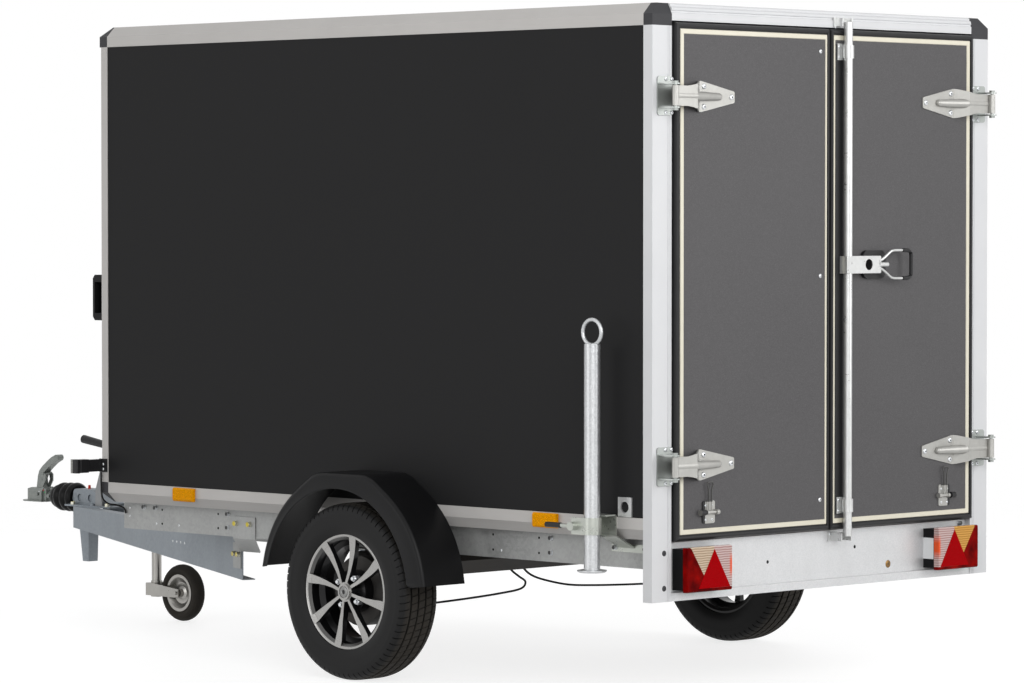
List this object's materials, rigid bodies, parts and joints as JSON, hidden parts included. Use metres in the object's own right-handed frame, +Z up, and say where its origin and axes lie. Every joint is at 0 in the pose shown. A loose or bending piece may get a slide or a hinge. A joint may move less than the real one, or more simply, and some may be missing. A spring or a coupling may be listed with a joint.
{
  "type": "single-axle box trailer",
  "caption": "Enclosed box cargo trailer with twin hinged rear doors, one braked axle, an overrun drawbar, a nose wheel and prop stands.",
  "frame": {"origin": "on the ground under the middle of the trailer's overall length and width", "axes": "+X forward towards the coupling, +Y to the trailer's left, +Z up"},
  "size_m": [3.9152, 1.905, 2.051],
  "materials": {
    "floor_wood": "dark film-faced plywood",
    "side_skin": "plywood panel with a near-black satin skin",
    "roof_skin": "panel with a pale smooth skin",
    "rail_aluminium": "anodised or white-coated aluminium sections",
    "cap_plastic": "dark grey moulded plastic",
    "zinc_steel": "hot-dip galvanised sheet steel",
    "axle_steel": "dark coated steel",
    "black_rubber": "black rubber",
    "cast_housing": "galvanised casting",
    "pressed_head": "zinc-plated pressed steel",
    "black_lever": "black coated steel with a plastic grip",
    "bright_zinc": "bright zinc plating",
    "black_plastic": "textured black plastic",
    "lamp_lens": "red and amber lens over a dark base",
    "marker_lens": "amber lens",
    "door_skin": "plywood with a grey grained skin",
    "edging": "cream edging strip",
    "tyre_rubber": "road tyre rubber",
    "wheel_alloy": "alloy with machined faces and dark pockets",
    "drum_iron": "dark iron",
    "nose_rim_steel": "galvanised pressed steel"
  },
  "bodies": {
    "trailer": {"cargo_floor": "floor_wood", "side_panels": "side_skin", "front_panel": "side_skin", "roof_panel": "roof_skin", "side_rails": "rail_aluminium", "front_frame": "rail_aluminium", "corner_caps": "cap_plastic", "rear_frame": "rail_aluminium", "rear_crossmember": "zinc_steel", "chassis_rails": "zinc_steel", "chassis_crossbars": "zinc_steel", "drawbar_beams": "zinc_steel", "drawbar_brackets": "zinc_steel", "axle_beam": "axle_steel", "brake_linkage": "zinc_steel", "brake_cables": "black_rubber", "lamp_leads": "black_rubber", "overrun_housing": "cast_housing", "overrun_bellows": "black_rubber", "coupling_head": "pressed_head", "coupling_handle": "pressed_head", "handbrake_lever": "black_lever", "nose_wheel_clamp": "bright_zinc", "drawbar_foot": "zinc_steel", "mudguard_left": "black_plastic", "mudguard_right": "black_plastic", "tail_lamps": "lamp_lens", "side_markers": "marker_lens", "front_lamps": "black_plastic", "front_handles": "black_plastic", "hinge_brackets": "bright_zinc", "door_keepers": "bright_zinc", "stand_clamps": "bright_zinc"},
    "door_left": {"door_left_panel": "door_skin", "door_left_trim": "edging", "door_left_seal": "black_rubber", "door_left_hinges": "bright_zinc"},
    "door_right": {"door_right_panel": "door_skin", "door_right_trim": "edging", "door_right_seal": "black_rubber", "door_right_hinges": "bright_zinc", "lock_bar": "bright_zinc"},
    "wheel_left": {"tyre_left": "tyre_rubber", "rim_left": "wheel_alloy", "drum_left": "drum_iron"},
    "wheel_right": {"tyre_right": "tyre_rubber", "rim_right": "wheel_alloy", "drum_right": "drum_iron"},
    "prop_left": {"stand_left": "bright_zinc"},
    "prop_right": {"stand_right": "bright_zinc"},
    "nose_wheel_leg": {"nose_leg": "bright_zinc"},
    "nose_wheel_fork": {"nose_fork": "bright_zinc"},
    "nose_wheel": {"nose_rim": "nose_rim_steel", "nose_tyre": "tyre_rubber"}
  },
  "joints": [
    {"name": "door_left_swing", "type": "hinge", "parent": "trailer", "child": "door_left", "pos_m": [-1.94365, 0.732, 1.2], "axis": [0, 0, -1], "range_deg": [0, 230]},
    {"name": "door_right_swing", "type": "hinge", "parent": "trailer", "child": "door_right", "pos_m": [-1.94365, -0.732, 1.2], "axis": [0, 0, 1], "range_deg": [0, 230]},
    {"name": "wheel_left_spin", "type": "hinge", "parent": "trailer", "child": "wheel_left", "pos_m": [-0.74565, 0.8625, 0.2735], "axis": [0, 1, 0], "continuous": true},
    {"name": "wheel_right_spin", "type": "hinge", "parent": "trailer", "child": "wheel_right", "pos_m": [-0.74565, -0.8625, 0.2735], "axis": [0, 1, 0], "continuous": true},
    {"name": "prop_left_slide", "type": "slide", "parent": "trailer", "child": "prop_left", "axis": [0, 0, -1], "range_m": [0, 0.38]},
    {"name": "prop_right_slide", "type": "slide", "parent": "trailer", "child": "prop_right", "axis": [0, 0, -1], "range_m": [0, 0.38]},
    {"name": "nose_wheel_lift", "type": "slide", "parent": "trailer", "child": "nose_wheel_leg", "axis": [0, 0, 1], "range_m": [-0.08, 0.08]},
    {"name": "nose_wheel_swivel", "type": "hinge", "parent": "nose_wheel_leg", "child": "nose_wheel_fork", "pos_m": [1.23435, 0, 0.1], "axis": [0, 0, 1], "continuous": true},
    {"name": "nose_wheel_spin", "type": "hinge", "parent": "nose_wheel_fork", "child": "nose_wheel", "pos_m": [1.09035, 0, 0.1], "axis": [0, 1, 0], "continuous": true}
  ]
}
